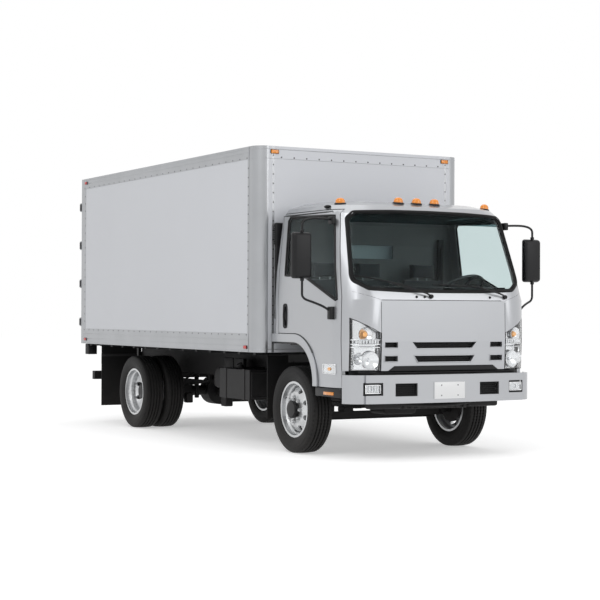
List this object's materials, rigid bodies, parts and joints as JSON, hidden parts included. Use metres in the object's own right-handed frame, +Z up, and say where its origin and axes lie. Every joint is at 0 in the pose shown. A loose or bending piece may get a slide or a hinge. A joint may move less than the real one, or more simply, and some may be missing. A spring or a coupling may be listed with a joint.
{
  "type": "box truck",
  "caption": "Light cab-over truck with a closed load box, twin rear wheels, a tilting cab, swing rear doors and steered front wheels.",
  "frame": {"origin": "on the ground, halfway along the truck and across it", "axes": "-Y is the way the truck faces, +X is its left side, +Z up"},
  "size_m": [2.748, 6.185, 2.907],
  "materials": {
    "frame_black": "satin black",
    "engine_grey": "rough cast",
    "cab_paint": "metallic silver",
    "box_skin": "smooth white",
    "box_rail": "brushed",
    "floor_wood": "worn planks",
    "tyre_rubber": "matt",
    "flap_rubber": "matt",
    "rim_silver": "silver paint",
    "marker_amber": "clear amber",
    "lamp_clear": "clear lens",
    "window_glass": "tinted",
    "cab_trim": "grained grey",
    "mirror_black": "grained black",
    "seat_cloth": "woven grey"
  },
  "bodies": {
    "chassis": {"chassis_frame": "frame_black", "leaf_springs": "frame_black", "front_axle": "frame_black", "rear_axle": "frame_black", "driveshaft": "frame_black", "engine": "engine_grey", "exhaust": "frame_black", "fuel_tank": "frame_black", "battery_box": "frame_black", "front_bumper": "cab_paint", "mudguards": "flap_rubber", "box_floor": "floor_wood", "box_side_walls": "box_skin", "box_front_wall": "box_rail", "box_roof": "box_skin", "rear_frame": "box_rail", "rear_bumper": "frame_black", "box_lamps": "marker_amber"},
    "rear_door_left": {"rear_door_left": "box_skin"},
    "rear_door_right": {"rear_door_right": "box_skin"},
    "knuckle_left": {"knuckle_left": "frame_black"},
    "knuckle_right": {"knuckle_right": "frame_black"},
    "tie_rod": {"tie_rod": "frame_black"},
    "front_wheel_left": {"front_tyre_left": "tyre_rubber", "front_rim_left": "rim_silver"},
    "front_wheel_right": {"front_tyre_right": "tyre_rubber", "front_rim_right": "rim_silver"},
    "rear_wheels_left": {"rear_tyres_left": "tyre_rubber", "rear_rims_left": "rim_silver"},
    "rear_wheels_right": {"rear_tyres_right": "tyre_rubber", "rear_rims_right": "rim_silver"},
    "cab": {"cab_floor": "cab_trim", "cab_frame": "cab_paint", "cab_back": "cab_paint", "cab_roof": "cab_paint", "front_panel": "cab_paint", "headlights": "lamp_clear", "cab_windows": "window_glass", "dashboard": "cab_trim", "seats": "seat_cloth", "roof_lamps": "marker_amber"},
    "steering_wheel": {"steering_wheel": "cab_trim"},
    "door_left": {"door_left": "cab_paint", "door_glass_left": "window_glass", "mirror_left": "mirror_black"},
    "door_right": {"door_right": "cab_paint", "door_glass_right": "window_glass", "mirror_right": "mirror_black"}
  },
  "joints": [
    {"name": "cab_tilt", "type": "hinge", "parent": "chassis", "child": "cab", "pos_m": [0, -2.9205, 0.83], "axis": [1, 0, 0], "range_deg": [0, 45]},
    {"name": "door_left_hinge", "type": "hinge", "parent": "cab", "child": "door_left", "pos_m": [0.978, -2.8565, 1.4], "axis": [0, 0, -1], "range_deg": [0, 70]},
    {"name": "door_right_hinge", "type": "hinge", "parent": "cab", "child": "door_right", "pos_m": [-0.978, -2.8565, 1.4], "axis": [0, 0, 1], "range_deg": [0, 70]},
    {"name": "rear_door_left_hinge", "type": "hinge", "parent": "chassis", "child": "rear_door_left", "pos_m": [1.16, 3.0765, 1.8], "axis": [0, 0, -1], "range_deg": [0, 270]},
    {"name": "rear_door_right_hinge", "type": "hinge", "parent": "chassis", "child": "rear_door_right", "pos_m": [-1.16, 3.0765, 1.8], "axis": [0, 0, 1], "range_deg": [0, 270]},
    {"name": "steering", "type": "hinge", "parent": "chassis", "child": "knuckle_left", "pos_m": [0.715, -1.9205, 0.408], "axis": [0, 0, 1], "range_deg": [-35, 35]},
    {"name": "steering_right", "type": "hinge", "parent": "chassis", "child": "knuckle_right", "pos_m": [-0.715, -1.9205, 0.408], "axis": [0, 0, 1], "range_deg": [-35, 35]},
    {"name": "tie_rod_pivot", "type": "hinge", "parent": "knuckle_left", "child": "tie_rod", "pos_m": [0.715, -1.7405, 0.303], "axis": [0, 0, 1], "range_deg": [-35, 35]},
    {"name": "steering_wheel_turn", "type": "hinge", "parent": "cab", "child": "steering_wheel", "pos_m": [0.54, -2.5205, 1.56], "axis": [0, 0.5299, 0.848], "range_deg": [-700, 700]},
    {"name": "front_wheel_left_spin", "type": "hinge", "parent": "knuckle_left", "child": "front_wheel_left", "pos_m": [0.87, -1.9205, 0.408], "axis": [1, 0, 0], "continuous": true},
    {"name": "front_wheel_right_spin", "type": "hinge", "parent": "knuckle_right", "child": "front_wheel_right", "pos_m": [-0.87, -1.9205, 0.408], "axis": [1, 0, 0], "continuous": true},
    {"name": "rear_wheels_left_spin", "type": "hinge", "parent": "chassis", "child": "rear_wheels_left", "pos_m": [0.825, 1.6945, 0.408], "axis": [1, 0, 0], "continuous": true},
    {"name": "rear_wheels_right_spin", "type": "hinge", "parent": "chassis", "child": "rear_wheels_right", "pos_m": [-0.825, 1.6945, 0.408], "axis": [1, 0, 0], "continuous": true}
  ],
  "couplings": [
    {"joint": "steering_right", "follows": "steering", "ratio": 1},
    {"joint": "tie_rod_pivot", "follows": "steering", "ratio": -1},
    {"joint": "steering_wheel_turn", "follows": "steering", "ratio": 20}
  ]
}
